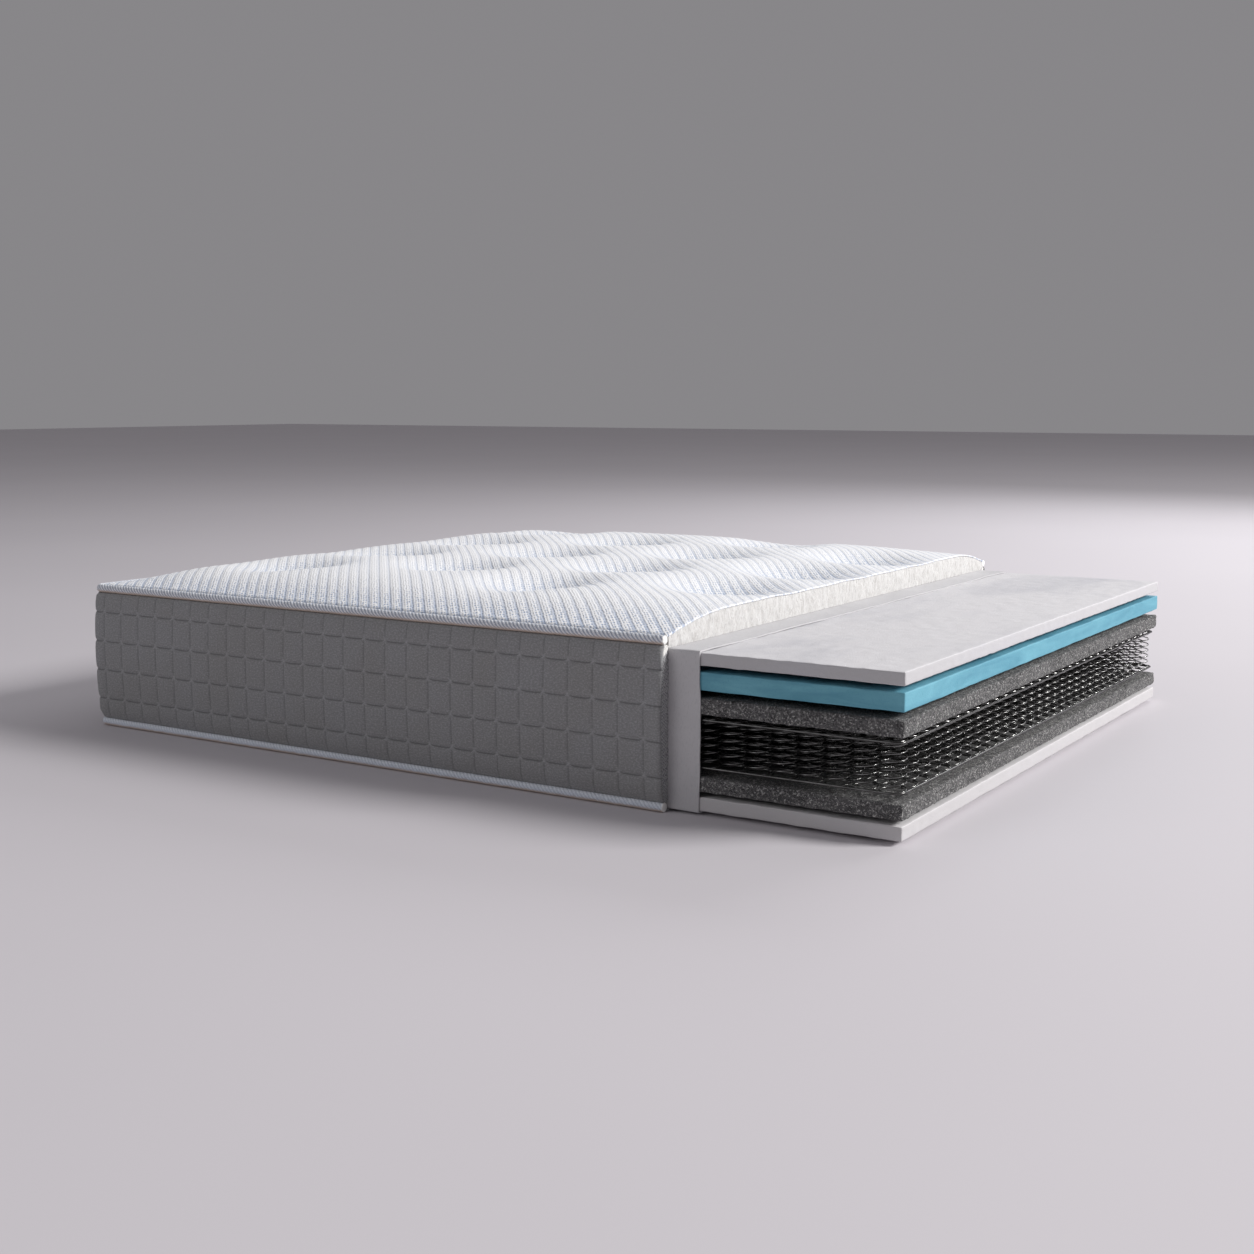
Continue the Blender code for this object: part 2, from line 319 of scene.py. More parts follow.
def wrap_points(along, inset, height):
    """Points at a length along the cover's outer face from the front cut, some way inside it."""
    turn = np.radians(np.interp(along, WRAP_STOPS, [270, 270, 180, 180, 90, 90]))
    near = COVER_LEFT + COVER_CORNER
    side = COVER_HALF - COVER_CORNER
    centre_x = np.interp(along, WRAP_STOPS, [COVER_CUT, near, near, near, near, COVER_CUT])
    centre_y = np.interp(along, WRAP_STOPS, [-side, -side, -side, side, side, side])
    reach = COVER_CORNER - inset
    x = centre_x + reach * np.cos(turn)
    y = centre_y + reach * np.sin(turn)
    return np.stack(np.broadcast_arrays(x, y, height), axis=-1).astype(float)


# -------- materials
class Finish:
    """A short way to write a material's node graph."""

    def __init__(self, name, roughness, specular=0.3, metallic=0.0, sheen=0.0):
        self.material = bpy.data.materials.new(name)
        self.material.use_nodes = True
        self.tree = self.material.node_tree
        self.shader = self.tree.nodes["Principled BSDF"]
        self.feed_all(self.shader, {
            "Roughness": roughness,
            "Specular IOR Level": specular,
            "Metallic": metallic,
            "Sheen Weight": sheen,
            "Sheen Roughness": 0.6,
        })

    def add(self, kind, inputs=(), **settings):
        node = self.tree.nodes.new("ShaderNode" + kind)
        for key, value in settings.items():
            setattr(node, key, value)
        self.feed_all(node, dict(inputs))
        return node

    def feed_all(self, node, inputs):
        for key, value in inputs.items():
            self.feed(node.inputs[key], value)

    def feed(self, socket, value):
        if isinstance(value, bpy.types.NodeSocket):
            self.tree.links.new(value, socket)
        elif socket.type == "RGBA":
            socket.default_value = (*value, 1.0)
        else:
            socket.default_value = value

    def place(self):
        return self.add("TexCoord").outputs["Object"]

    def own_map(self, name):
        return self.add("UVMap", uv_map=name).outputs["UV"]

    def stored(self, name):
        return self.add("Attribute", attribute_name=name).outputs["Fac"]

    def maths(self, operation, first, second=0.0, third=0.0):
        return self.add("Math", {0: first, 1: second, 2: third}, operation=operation).outputs[0]

    def times(self, first, second):
        return self.maths("MULTIPLY", first, second)

    def plus(self, first, second):
        return self.maths("ADD", first, second)

    def minus(self, first, second):
        return self.maths("SUBTRACT", first, second)

    def size_of(self, value):
        return self.maths("ABSOLUTE", value)

    def parts(self, vector):
        return self.add("SeparateXYZ", {0: vector}).outputs

    def scaled(self, vector, x, y, z, turn=0.0):
        inputs = {"Vector": vector, "Rotation": (0.0, 0.0, turn), "Scale": (x, y, z)}
        return self.add("Mapping", inputs).outputs[0]

    def noise(self, vector, scale, detail=3.0, roughness=0.55, distortion=0.0):
        inputs = {"Vector": vector, "Scale": scale, "Detail": detail}
        inputs.update({"Roughness": roughness, "Distortion": distortion})
        return self.add("TexNoise", inputs).outputs["Fac"]

    def spots(self, vector, scale, randomness=1.0):
        inputs = {"Vector": vector, "Scale": scale, "Randomness": randomness}
        return self.add("TexVoronoi", inputs).outputs["Distance"]

    def grain(self, vector, scales, *settings):
        """Noise with its own scale on each axis."""
        return self.noise(self.scaled(vector, *scales), 1.0, *settings)

    def cells(self, vector, scales, randomness):
        return self.spots(self.scaled(vector, *scales), 1.0, randomness)

    def stretch(self, value, low, high, first=0.0, last=1.0):
        return self.add("MapRange", enumerate((value, low, high, first, last))).outputs[0]

    def blend(self, share, first, second):
        return self.add("Mix", {0: share, 6: first, 7: second}, data_type="RGBA").outputs[2]

    def over(self, tone, share, limits, colour):
        """A colour laid over a tone where a share, stretched between limits, is high."""
        return self.blend(self.stretch(share, *limits), tone, colour)

    def bump(self, height, distance, strength=1.0):
        node = self.add("Bump", {"Strength": strength, "Distance": distance, "Height": height})
        self.feed(self.shader.inputs["Normal"], node.outputs[0])

    def colour(self, value):
        self.feed(self.shader.inputs["Base Color"], value)


def foam_finish(name, pale, smudge, seed, amount=0.5):
    """Slab foam: fine open pores, faint smudges, and painted shade that makes its upright sides darker
    than its top and bottom.
    """
    mat = Finish(name, 0.9, 0.25)
    shift = (seed, seed * 0.7, seed * 0.3)
    place = mat.add("VectorMath", {0: mat.place(), 1: shift}, operation="ADD").outputs[0]
    upright = mat.parts(mat.add("NewGeometry").outputs["Normal"])[2]
    smudges = mat.grain(place, (4.5, 2.2, 14), 5.0, 0.62, 0.6)
    smudges = mat.stretch(smudges, 0.47, 0.72, 0.0, amount)
    pores = mat.spots(place, 420.0)
    grain = mat.noise(place, 240.0, 3.0, 0.7)
    # painted shade: faces that stand upright get a darker copy of the foam's colour
    side = tuple(0.7 * channel for channel in pale)
    tone = mat.blend(mat.stretch(mat.size_of(upright), 0.85, 0.55), pale, side)
    tone = mat.blend(smudges, tone, smudge)
    deep = tuple(0.78 * channel for channel in pale)
    speck = mat.stretch(grain, 0.54, 0.72, 0.0, 0.4)
    mat.colour(mat.blend(speck, tone, deep))
    height = mat.plus(mat.stretch(pores, 0.0, 0.5), grain)
    mat.bump(height, 0.0006, 0.6)
    return mat.material


def gel_finish():
    """Gel-infused foam: blue with paler swirls and fine beads of gel."""
    mat = Finish("gel_foam", 0.55, 0.4)
    place = mat.place()
    clouds = mat.grain(place, (7, 4, 30), 4.0, 0.6, 0.8)
    beads = mat.spots(place, 260.0)
    body = mat.over((0.08, 0.262, 0.352), clouds, (0.35, 0.7), (0.135, 0.365, 0.455))
    bead_share = mat.stretch(beads, 0.05, 0.35, 0.45, 0.0)
    mat.colour(mat.blend(bead_share, body, (0.055, 0.22, 0.35)))
    grain = mat.noise(place, 300.0, 2.0, 0.6)
    mat.bump(mat.plus(grain, mat.stretch(beads, 0.0, 0.5)), 0.0005, 0.5)
    return mat.material


def felt_finish():
    """Needled felt from mixed fibres: dark grey with pale, brown and black flecks."""
    mat = Finish("needled_felt", 1.0, 0.1, sheen=0.1)
    place = mat.place()
    fine = mat.noise(place, 250.0, 4.0, 0.85)
    long = mat.grain(place, (150, 110, 340), 3.0, 0.75, 1.5)
    broad = mat.noise(place, 24.0, 3.0, 0.6)
    tone = mat.over((0.075, 0.074, 0.076), broad, (0.35, 0.65), (0.13, 0.128, 0.13))
    tone = mat.over(tone, fine, (0.53, 0.62, 0.0, 1.0), (0.6, 0.59, 0.575))
    tone = mat.over(tone, long, (0.52, 0.62, 0.0, 0.95), (0.02, 0.019, 0.019))
    mat.colour(tone)
    mat.bump(mat.plus(fine, long), 0.003, 1.0)
    return mat.material


def knit_finish():
    """Ribbed spacer knit: open mesh between bright ridges and soft blue-grey grooves, both darker where
    the drawn share is high, which is partly painted shade.
    """
    mat = Finish("ribbed_knit", 0.85, 0.25, sheen=0.25)
    place = mat.place()
    x, y, _ = mat.parts(place)
    across = mat.maths("MULTIPLY_ADD", y, math.tan(RIB_TURN), x)
    rib = mat.maths("FRACT", mat.maths("DIVIDE", across, RIB_PITCH))
    groove = mat.stretch(mat.size_of(mat.minus(rib, RIB_GROOVE)), 0.07, 0.24, 1.0, 0.0)
    ridge = mat.stretch(mat.size_of(mat.minus(rib, RIB_RIDGE)), 0.03, 0.12, 1.0, 0.0)
    turned = mat.scaled(place, 1.0, 1.0, 0.0, -RIB_TURN)
    flat = mat.scaled(turned, 1 / 0.0054, 1 / 0.0125, 0.0)
    holes = mat.stretch(mat.spots(flat, 1.0, 0.35), 0.2, 0.52, 1.0, 0.0)
    yarn = mat.grain(turned, (900, 420, 500), 2.0, 0.6)
    wear = mat.grain(place, (6.0, 6.0, 0.0), 2.0, 0.5)
    # drawn: the knit drawn open, with painted shade on the dimples' sides away from the light
    drawn = mat.stored("drawn")
    open_share = mat.maths("MULTIPLY_ADD", drawn, 1.05, mat.stretch(wear, 0.35, 0.65, 0.14, 0.34))
    mesh_share = mat.times(holes, open_share)
    groove_share = mat.times(groove, mat.maths("MULTIPLY_ADD", holes, 0.34, 0.56))
    groove_share = mat.times(groove_share, mat.maths("MULTIPLY_ADD", drawn, 0.85, 0.6))
    share = mat.maths("MAXIMUM", mesh_share, groove_share)
    share = mat.times(share, mat.maths("MULTIPLY_ADD", ridge, -0.85, 1.0))
    pale = mat.over((0.8, 0.8, 0.82), yarn, (0.3, 0.7), (0.89, 0.89, 0.9))
    mat.colour(mat.blend(share, pale, (0.36, 0.43, 0.57)))
    mat.bump(mat.minus(mat.times(yarn, 0.35), mat.times(holes, 0.7)), 0.0011, 0.8)
    return mat.material


def border_finish():
    """Grey woven border cloth, darker in its quilting seams, with a painted highlight where the seams
    cross.
    """
    mat = Finish("border_cloth", 0.9, 0.2, sheen=0.1)
    place = mat.own_map("weave")
    across, up, _ = mat.parts(place)
    crease = mat.stored("crease")
    crossing_highlight = mat.stored("crossing_highlight")
    warp = mat.maths("SINE", mat.times(across, 2 * pi / 0.0016))
    weft = mat.maths("SINE", mat.times(up, 2 * pi / 0.0016))
    weave = mat.times(warp, weft)
    thread = mat.grain(place, (300, 1100, 1), 3.0, 0.7)
    slub = mat.grain(place, (210, 330, 1), 2.0, 0.8)
    drift = mat.grain(place, (7, 7, 1), 3.0, 0.6)
    tone = mat.over((0.305, 0.301, 0.297), drift, (0.35, 0.65), (0.325, 0.327, 0.335))
    tone = mat.over(tone, weave, (-1.0, 1.0, 0.0, 0.38), (0.15, 0.15, 0.155))
    tone = mat.over(tone, thread, (0.5, 0.75, 0.0, 0.4), (0.42, 0.415, 0.42))
    tone = mat.over(tone, slub, (0.4, 0.62, 0.38, 0.0), (0.15, 0.15, 0.16))
    tone = mat.over(tone, slub, (0.5, 0.7, 0.0, 0.35), (0.44, 0.44, 0.455))
    # painted highlight on the puckered seam crossings
    tone = mat.blend(mat.times(crossing_highlight, 0.26), tone, (0.5, 0.505, 0.53))
    mat.colour(mat.blend(mat.times(crease, 0.68), tone, (0.085, 0.085, 0.09)))
    mat.bump(mat.plus(mat.times(weave, 0.5), thread), 0.0005, 0.7)
    return mat.material


def piping_finish(name, pale, shaded_side, shade, groove_shade):
    """Knit tape over a cord, with painted light: paler on top, greyer at the side and tan underneath, and
    painted shade in the grooves between its strands; white fibre at its cut ends.
    """
    mat = Finish(name, 0.85, 0.25, sheen=0.2)
    place = mat.place()
    upright = mat.parts(mat.add("NewGeometry").outputs["Normal"])[2]
    yarn = mat.grain(place, (330, 330, 900), 3.0, 0.7)
    loops = mat.cells(place, (330, 330, 420), 0.6)
    # painted light: the pale tone on top and the shaded tone at the side, by which way the surface faces
    tone = mat.over(shaded_side, upright, (0.0, 0.7), pale)
    tone = mat.over(tone, loops, (0.3, 0.62, 0.0, 0.35), shade)
    turns = mat.parts(mat.own_map("lay"))[0]
    # painted shade in the grooves between the strands
    groove = mat.stretch(mat.maths("PINGPONG", turns, 0.5), 0.04, 0.36, groove_shade, 0.0)
    tone = mat.blend(groove, tone, shade)
    # painted tan shade on the underside
    tone = mat.over(tone, upright, (-0.1, -0.7, 0.0, 0.95), (0.52, 0.4, 0.32))
    mat.colour(mat.blend(mat.stored("cut_end"), tone, (0.88, 0.87, 0.85)))
    mat.bump(mat.minus(yarn, loops), 0.0009, 0.8)
    return mat.material


def fibre_finish(name, pale, shade):
    """Cut polyester wadding: fine upright fibres in small tufts."""
    mat = Finish(name, 0.95, 0.2, sheen=0.3)
    place = mat.place()
    tufts = mat.grain(place, (60, 210, 70), 3.0, 0.65, 1.2)
    hairs = mat.grain(place, (300, 900, 130), 3.0, 0.7, 0.6)
    tone = mat.over(shade, tufts, (0.36, 0.6), pale)
    mat.colour(mat.over(tone, hairs, (0.56, 0.74, 0.0, 0.5), shade))
    mat.bump(mat.plus(tufts, mat.times(hairs, 0.6)), 0.004, 0.7)
    return mat.material


def braid_finish():
    """Border filling at its cut: grey braided fibre, with the white quilt filling above it."""
    mat = Finish("border_fibre", 0.95, 0.2, sheen=0.2)
    place = mat.place()
    _, y, z = mat.parts(place)
    zigzag = mat.maths("PINGPONG", y, BRAID_HALF)
    slant = mat.plus(z, mat.times(zigzag, BRAID_SLOPE))
    strands = mat.maths("SINE", mat.times(slant, 2 * pi / BRAID_PITCH))
    hairs = mat.grain(place, (300, 500, 200), 3.0, 0.7, 1.0)
    mixed = mat.plus(mat.times(strands, 0.25), hairs)
    tone = mat.over((0.16, 0.16, 0.17), mixed, (0.25, 0.75), (0.48, 0.48, 0.49))
    white = mat.over((0.8, 0.78, 0.75), hairs, (0.4, 0.65), (0.93, 0.92, 0.9))
    depth = mat.minus(mat.size_of(y), COVER_HALF - 0.02)
    line = mat.plus(z, mat.times(depth, 0.6))
    mat.colour(mat.over(tone, line, (BORDER_HIGH.z - 0.011, BORDER_HIGH.z - 0.008), white))
    mat.bump(mixed, 0.0022, 0.8)
    return mat.material


def sleeve_finish():
    """Thin grey stretch knit."""
    mat = Finish("sleeve_knit", 0.85, 0.25, sheen=0.2)
    place = mat.place()
    wales = mat.grain(place, (420, 420, 140), 3.0, 0.7)
    loops = mat.cells(place, (420, 420, 420), 0.7)
    drift = mat.noise(place, 9.0, 3.0, 0.6)
    tone = mat.over((0.455, 0.445, 0.46), drift, (0.3, 0.7), (0.51, 0.5, 0.515))
    tone = mat.over(tone, wales, (0.52, 0.72, 0.0, 0.35), (0.27, 0.27, 0.29))
    mat.colour(tone)
    mat.bump(mat.plus(wales, loops), 0.0005, 0.6)
    return mat.material


def underside_finish():
    """Grey non-woven fabric with rows of small pressed dots."""
    mat = Finish("underside_cloth", 0.9, 0.2)
    place = mat.place()
    dots = mat.stretch(mat.cells(place, (210, 210, 0), 0.0), 0.18, 0.34, 1.0, 0.0)
    fibres = mat.noise(place, 160.0, 4.0, 0.7, 1.0)
    tone = mat.over((0.26, 0.26, 0.27), fibres, (0.35, 0.65), (0.36, 0.36, 0.37))
    mat.colour(mat.blend(mat.times(dots, 0.6), tone, (0.17, 0.17, 0.18)))
    mat.bump(mat.minus(fibres, dots), 0.0005, 0.7)
    return mat.material


def steel_finish(name, bright, dull, roughness, metallic):
    """Drawn spring wire under a thin dark film of oil, with fine lengthwise lines."""
    mat = Finish(name, roughness, 0.8, metallic=metallic)
    place = mat.place()
    film = mat.noise(place, 60.0, 3.0, 0.6)
    drawn = mat.grain(place, (900, 900, 3500), 2.0, 0.6)
    tone = mat.over(dull, film, (0.35, 0.65), bright)
    line = tuple(0.5 * channel for channel in dull)
    mat.colour(mat.over(tone, drawn, (0.55, 0.8, 0.0, 0.4), line))
    mat.bump(drawn, 0.0002, 0.4)
    return mat.material


def floor_finish():
    """Plain pale studio floor."""
    mat = Finish("studio_floor", 0.75, 0.2)
    drift = mat.noise(mat.place(), 0.7, 2.0, 0.5)
    mat.colour(mat.blend(drift, (0.6, 0.57, 0.6), (0.63, 0.6, 0.63)))
    return mat.material


# -------- layers
LAYER_EDGE = 0.0025
HIDDEN_STEP = 0.03
SHOWN_FROM = COVER_CUT - 0.02


def make_layer(node, material, step, cell, amount, seed):
    """A foam or felt slab with softly broken edges."""
    low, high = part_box(node)
    xs = edged(run_lines((low.x, HIDDEN_STEP), (SHOWN_FROM, step), (high.x, 0)), LAYER_EDGE)
    ys = edged(run_lines((low.y, step), (high.y, 0)), LAYER_EDGE)
    zs = edged(run_lines((low.z, 0.0045), (high.z, 0)), LAYER_EDGE)
    points, quads, _ = box_skin(xs, ys, zs)
    points = soften(points, low, high, LAYER_EDGE)
    points = shaken(points, cell, amount, seed)
    points = turn_corners(points, low.x, high.y, COVER_CORNER - (COVER_HALF - high.y))
    mesh = make_mesh(node + "_slab", points, quads)
    piece = make_piece(mesh, material, [node])


# -------- springs
COILS = 38
COIL_WIRE = 0.0026
COIL_TURNS = 8.0
COIL_DEAD = 0.75            # level turns at each end
COIL_START = pi / 4
FINE_COIL = (18, 6)         # segments in a turn, sides of the wire
PLAIN_COIL = (10, 4)
OUTER_ROWS = 3              # rows at each side made of fine coils
END_COILS = 4               # fine coils at the open end of the other rows
ROD_BEND = 0.02


def coil_skin(radius, low, high, detail):
    """Points, quads and caps of one coil standing at the origin."""
    segments, sides = detail
    share = np.linspace(0, 1, round(COIL_TURNS * segments) + 1)
    angle = COIL_START + 2 * pi * COIL_TURNS * share
    rise = np.clip((share * COIL_TURNS - COIL_DEAD) / (COIL_TURNS - 2 * COIL_DEAD), 0, 1)
    height = low + COIL_WIRE / 2 + (high - low - COIL_WIRE) * rise
    side = np.arange(sides) * 2 * pi / sides
    reach = radius - COIL_WIRE / 2 + COIL_WIRE / 2 * np.cos(side)[None, :]
    x = reach * np.cos(angle)[:, None]
    y = reach * np.sin(angle)[:, None]
    z = height[:, None] + COIL_WIRE / 2 * np.sin(side)[None, :]
    rings = columns(x, y, z)
    return rings.reshape(-1, 3), *tube_faces(rings.shape)


def make_coil_mesh(name, row_low, row_high, fine_from):
    """One row of coils along X, fine from a number on and plain before it."""
    radius = (row_high.y - row_low.y) / 2
    pitch = (row_high.x - row_low.x - 2 * radius) / (COILS - 1)
    points, quads, caps, count = [], [], [], 0
    for number in range(COILS):
        detail = FINE_COIL if number >= fine_from else PLAIN_COIL
        skin, faces, ends = coil_skin(radius, row_low.z, row_high.z, detail)
        points.append(skin + np.array([row_low.x + radius + number * pitch, 0.0, 0.0]))
        quads.append(faces + count)
        caps += [end + count for end in ends]
        count += len(skin)
    return make_mesh(name, np.concatenate(points), np.concatenate(quads), caps)


def make_springs(material):
    rows = sorted(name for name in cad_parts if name.startswith("coil_row_"))
    low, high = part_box(rows[0])
    fine = make_coil_mesh("coils_fine", low, high, 0)
    plain = make_coil_mesh("coils_plain", low, high, COILS - END_COILS)
    for number, node in enumerate(rows):
        outer = min(number, len(rows) - 1 - number) < OUTER_ROWS
        low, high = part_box(node)
        name = node.replace("row", "wires")
        mesh = fine if outer else plain
        make_piece(mesh, material, [node], name, (0.0, (low.y + high.y) / 2, 0.0))


def make_rod(node, material):
    """A border rod: round wire bent to a rounded rectangle."""
    low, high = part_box(node)
    radius = (high.z - low.z) / 2
    side = np.linspace(0, 2 * pi, 12, endpoint=False)
    outline = []
    for corner, (right, back) in enumerate(((1, 1), (0, 1), (0, 0), (1, 0))):
        x = (high.x - radius - ROD_BEND) if right else (low.x + radius + ROD_BEND)
        y = (high.y - radius - ROD_BEND) if back else (low.y + radius + ROD_BEND)
        turn = np.radians(90 * corner + np.linspace(0, 90, 10))
        outline.append(columns(x + 0 * turn, y + 0 * turn, turn))
    outline = np.concatenate(outline)
    reach = ROD_BEND + radius * np.cos(side)[None, :]
    x = outline[:, :1] + reach * np.cos(outline[:, 2:])
    y = outline[:, 1:2] + reach * np.sin(outline[:, 2:])
    z = np.broadcast_to((low.z + high.z) / 2 + radius * np.sin(side), x.shape)
    rings = columns(x, y, z)
    mesh = make_mesh(node + "_wire", rings.reshape(-1, 3), tube_faces(x.shape, looped=True))
    make_piece(mesh, material, [node])


# -------- inner sleeve
def make_sleeve(material):
    """The sock round the layers, open at the display end."""
    low, high = SLEEVE_LOW, SLEEVE_HIGH
    edge = 0.004
    xs = edged(run_lines((low.x, HIDDEN_STEP), (SHOWN_FROM, 0.004), (high.x, 0)), 0.001)
    ys = edged(run_lines((low.y, 0.008), (high.y, 0)), edge)
    zs = edged(run_lines((low.z, 0.007), (high.z, 0)), edge)
    points, quads, index = box_skin(xs, ys, zs, open_end=True)
    long_high = Vector((high.x + 1.0, high.y, high.z))
    outer = soften(points, low, long_high, edge)
    outer[:, 0] = np.where(points[:, 0] > low.x + edge, points[:, 0], outer[:, 0])
    inner = columns(
        high.x - (high.x - outer[:, 0]) * (high.x - low.x - SLEEVE_WALL) / (high.x - low.x),
        outer[:, 1] * (high.y - SLEEVE_WALL) / high.y,
        outer[:, 2] + SLEEVE_WALL * (1 - 2 * (outer[:, 2] - low.z) / (high.z - low.z)),
    )
    loose = ramp(points[:, 0], COVER_CUT - 0.01, high.x)[:, None]
    ripple = shaken(points, (0.05, 0.09, 0.06), 0.0009, 31) - points
    trim = rough(points * [0, 1, 1], 0.035, 33)[:, None] * [0.0012, 0.0, 0.0]
    outer = outer + loose * (ripple + trim)
    inner = inner + loose * (ripple + trim)
    count = len(points)
    ring = rim_of(index[-1])
    faces = np.concatenate([quads, quads[:, ::-1] + count, rim_quads(ring, ring + count)[:, ::-1]])
    corner = COVER_CORNER - (COVER_HALF - high.y)
    both = np.concatenate([
        turn_corners(outer, low.x, high.y, corner),
        turn_corners(inner, low.x + SLEEVE_WALL, high.y - SLEEVE_WALL, corner - SLEEVE_WALL),
    ])
    mesh = make_mesh("inner_sleeve_sock", both, faces)
    piece = make_piece(mesh, material, ["inner_sleeve"])


# -------- quilted top
DIMPLE_PITCH = 0.345
DIMPLE_FIRST_X = COVER_LEFT + 0.308
DIMPLE_FIRST_Y = -0.477
DIMPLE_DEPTH = 0.031
DIMPLE_REACH = 0.185
CUT_FALL = 0.27
DIMPLE_EDGE = 0.2          # no dimple nearer to the piping than this


def dimple_places():
    """Centres of the dimples: rows across the bed, every other row shifted by half a pitch."""
    places = []
    row = 0
    while DIMPLE_FIRST_X + row * DIMPLE_PITCH < COVER_CUT - 0.05:
        for column in range(-2, 6):
            y = DIMPLE_FIRST_Y + (column + 0.5 * (row % 2)) * DIMPLE_PITCH
            if abs(y) < COVER_HALF - DIMPLE_EDGE:
                places.append((DIMPLE_FIRST_X + row * DIMPLE_PITCH, y))
        row += 1
    return places


def crown(x, y):
    """Smooth height of the panel over the quilt's base. It sinks a little towards the cut."""
    rise = 1 - CUT_FALL * ramp(x, COVER_CUT - 0.42, COVER_CUT)
    far = (COVER_HALF - PANEL_EDGE_INSET - y) / FAR_RUN
    near = (COVER_HALF - PANEL_EDGE_INSET + y) / QUILT_RUN
    head = (x - COVER_LEFT - PANEL_EDGE_INSET) / QUILT_RUN
    for reach in (head, near, far):
        rise = rise * np.sin(np.clip(reach, 0.0, 1.0) * pi / 2)
    return PANEL_EDGE_RISE + (QUILT_CROWN - PANEL_EDGE_RISE) * rise


def dimple_share(x, y):
    """1 at a dimple's centre, 0 away from every dimple."""
    share = 0.0
    for place_x, place_y in dimple_places():
        away = ((x - place_x) ** 2 + (y - place_y) ** 2) / DIMPLE_REACH ** 2
        share = share + (1 - np.minimum(away, 1)) ** 2.2
    return share


def dented(x, y):
    """Height of the panel with its dimples drawn down, before the cloth is filled out."""
    height = crown(x, y)
    flat = np.stack(np.broadcast_arrays(x, y, 0 * x), axis=-1)
    inside = np.clip((height - PANEL_EDGE_RISE) / (QUILT_CROWN - PANEL_EDGE_RISE), 0, 1)
    return height - DIMPLE_DEPTH * dimple_share(x, y) + inside * 0.003 * rough(flat, 0.19, 5)


def drawn_and_shade_share(x, y):
    """How far the knit is drawn open, which darkens its mesh: in the dimples and where it turns down to
    the piping. The dimples' share is moved towards each one's side away from the light, which is painted
    shade.
    """
    height = crown(x, y)
    edge = 1 - (height - PANEL_EDGE_RISE) / (QUILT_CROWN - PANEL_EDGE_RISE)
    # painted shade: the dimples' share is moved towards their sides away from the light
    dimples_and_shade = dimple_share(x - 0.028, y + 0.01)
    return np.clip(1.1 * dimples_and_shade + 0.9 * ramp(edge, 0.15, 0.95), 0, 1)


CLOTH_STEP = 0.016
CLOTH_FRAMES = 16
CLOTH_PRESSURE = 4.2
CLOTH_RISE = 0.009          # no point moves further than this
PIN_REACH = 0.014           # the cloth is held this far round each dimple's centre


def filled_out():
    """How far the filling pushes the knit out between its dimples, on an even grid in plan."""
    left = COVER_LEFT + PANEL_EDGE_INSET
    half = COVER_HALF - PANEL_EDGE_INSET
    xs = run_lines((left, CLOTH_STEP), (COVER_CUT, 0))
    ys = run_lines((-half, CLOTH_STEP), (half, 0))
    x, y = np.meshgrid(xs, ys, indexing="ij")
    start = QUILT_BASE + dented(x, y)
    index = np.arange(x.size).reshape(x.shape)
    mesh = bpy.data.meshes.new("cloth")
    points = columns(x, y, start).reshape(-1, 3)
    mesh.from_pydata(points.tolist(), [], quads_over(index).tolist())
    cloth = add_object("cloth", mesh)
    held = rim_of(index).tolist()
    for place_x, place_y in dimple_places():
        held += index[np.hypot(x - place_x, y - place_y) < PIN_REACH].tolist()
    cloth.vertex_groups.new(name="held").add(held, 1.0, "REPLACE")
    modifier = cloth.modifiers.new("cloth", "CLOTH")
    settings = modifier.settings
    settings.quality = 5
    settings.mass = 0.3
    settings.tension_stiffness = settings.compression_stiffness = 12.0
    settings.shear_stiffness = 4.0
    settings.bending_stiffness = 1.5
    settings.use_pressure = True
    settings.uniform_pressure_force = CLOTH_PRESSURE
    settings.effector_weights.gravity = 0.0
    settings.vertex_group_mass = "held"
    modifier.collision_settings.use_collision = False
    modifier.point_cache.frame_start = 1
    modifier.point_cache.frame_end = CLOTH_FRAMES
    for step in range(1, CLOTH_FRAMES + 1):
        bpy.context.scene.frame_set(step)
    shape = cloth.evaluated_get(bpy.context.evaluated_depsgraph_get()).to_mesh()
    ended = np.empty(len(points) * 3, np.float32)
    shape.vertices.foreach_get("co", ended)
    rise = ended.reshape(-1, 3)[:, 2].reshape(x.shape) - start
    bpy.context.scene.frame_set(1)
    bpy.data.objects.remove(cloth, do_unlink=True)
    bpy.data.meshes.remove(mesh)
    for _ in range(6):
        padded = np.pad(rise, 1, mode="edge")
        rise = (padded[:-2] + 2 * padded[1:-1] + padded[2:]) / 4
        rise = (rise[:, :-2] + 2 * rise[:, 1:-1] + rise[:, 2:]) / 4
    return xs, ys, np.clip(rise, -CLOTH_RISE, CLOTH_RISE)


def cubic_shares(part):
    """Catmull-Rom shares of the four grid values round a place."""
    square, cube = part * part, part ** 3
    return (
        (-part + 2 * square - cube) / 2,
        (2 - 5 * square + 3 * cube) / 2,
        (part + 4 * square - 3 * cube) / 2,
        (cube - square) / 2,
    )


def read_grid(grid, x, y):
    """Smooth value at places in plan from (xs, ys, values) on an even grid."""
    xs, ys, values = grid
    u = np.clip((x - xs[0]) / (xs[1] - xs[0]), 0, len(xs) - 1.001)
    v = np.clip((y - ys[0]) / (ys[1] - ys[0]), 0, len(ys) - 1.001)
    row, column = np.floor(u).astype(int), np.floor(v).astype(int)
    total = 0.0
    for i, share in enumerate(cubic_shares(u - row)):
        for j, other in enumerate(cubic_shares(v - column)):
            picked = values[np.clip(row + i - 1, 0, len(xs) - 1), np.clip(column + j - 1, 0, len(ys) - 1)]
            total = total + share * other * picked
    return total


